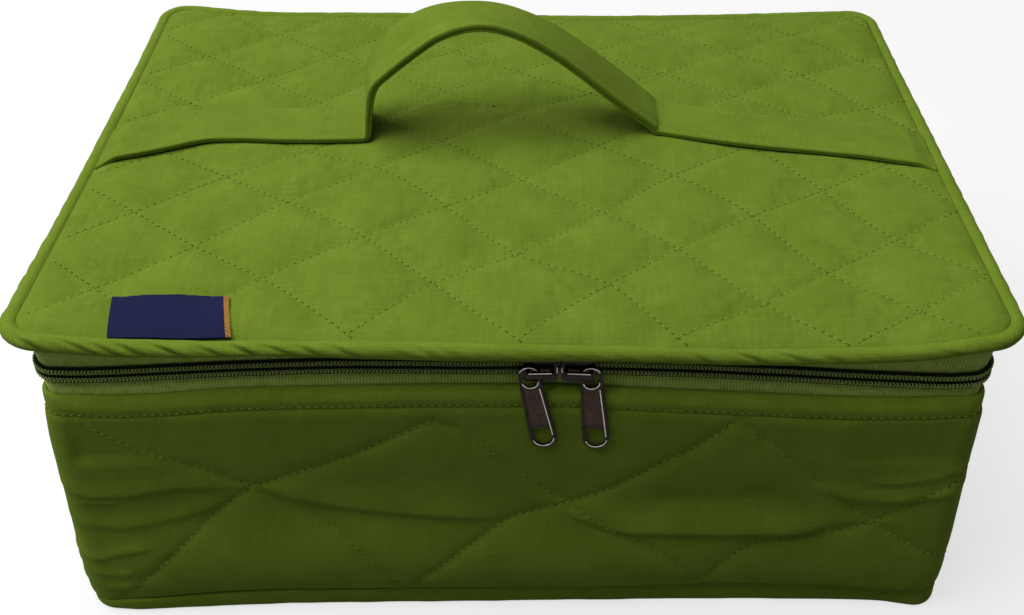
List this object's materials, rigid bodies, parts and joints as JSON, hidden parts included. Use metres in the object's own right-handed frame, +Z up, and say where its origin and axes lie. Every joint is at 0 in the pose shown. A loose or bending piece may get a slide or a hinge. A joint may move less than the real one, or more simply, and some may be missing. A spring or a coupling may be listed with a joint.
{
  "type": "craft storage bag",
  "caption": "Quilted fabric storage box with a corded lid zipped on round the front and sides, a rear fabric hinge, an arched strap handle and two zip sliders with pulls.",
  "frame": {"origin": "on the floor, under the middle of the base", "axes": "+X to the right as seen from the front, -Y towards the front where the sliders meet, +Z up"},
  "size_m": [0.3798, 0.2838, 0.208],
  "materials": {
    "quilted_cotton": "matte woven cotton, olive green",
    "piping_cotton": "matte bias-cut cotton over cord",
    "lining_cloth": "smooth polyester lining",
    "stiffener_board": "plain plastic board",
    "zip_tape": "ribbed polyester tape",
    "zip_coil": "nylon coil",
    "webbing": "cotton webbing, hidden",
    "tag_cloth": "woven ribbon",
    "gunmetal": "dark polished plating"
  },
  "bodies": {
    "case": {"base_panel": "quilted_cotton", "base_board": "stiffener_board", "base_lining": "lining_cloth", "base_piping": "piping_cotton", "wall_cover": "quilted_cotton", "front_board": "stiffener_board", "back_board": "stiffener_board", "left_board": "stiffener_board", "right_board": "stiffener_board", "wall_lining": "lining_cloth", "hem_band": "piping_cotton", "lower_tape": "zip_tape", "lower_coil": "zip_coil", "hinge_strip_lower": "quilted_cotton"},
    "lid": {"hinge_strip_upper": "quilted_cotton", "lid_cover": "quilted_cotton", "lid_board": "stiffener_board", "lid_lining": "lining_cloth", "lid_piping": "piping_cotton", "upper_tape": "zip_tape", "upper_coil": "zip_coil", "woven_tag": "tag_cloth", "handle_tail_left": "quilted_cotton", "handle_tail_right": "quilted_cotton"},
    "handle": {"handle_cover": "quilted_cotton", "handle_core": "webbing"},
    "left_slider": {"slider_left": "gunmetal"},
    "left_pull": {"pull_left": "gunmetal"},
    "right_slider": {"slider_right": "gunmetal"},
    "right_pull": {"pull_right": "gunmetal"}
  },
  "joints": [
    {"name": "lid_hinge", "type": "hinge", "parent": "case", "child": "lid", "pos_m": [0, 0.1393, 0.1308], "axis": [-1, 0, 0], "range_deg": [0, 180]},
    {"name": "handle_lean", "type": "hinge", "parent": "lid", "child": "handle", "pos_m": [0, 0.022, 0.1678], "axis": [1, 0, 0], "range_deg": [-35, 35]},
    {"name": "left_slider_run", "type": "slide", "parent": "case", "child": "left_slider", "axis": [-0.9996, 0, -0.03], "range_m": [0, 0.17]},
    {"name": "left_pull_swing", "type": "hinge", "parent": "left_slider", "child": "left_pull", "pos_m": [0.0068, -0.1369, 0.13735], "axis": [0, 1, 0], "range_deg": [-10, 100]},
    {"name": "right_slider_run", "type": "slide", "parent": "case", "child": "right_slider", "axis": [0.9988, 0, -0.0499], "range_m": [0, 0.135]},
    {"name": "right_pull_swing", "type": "hinge", "parent": "right_slider", "child": "right_pull", "pos_m": [0.0302, -0.1369, 0.13712], "axis": [0, 1, 0], "range_deg": [-85, 12]}
  ]
}
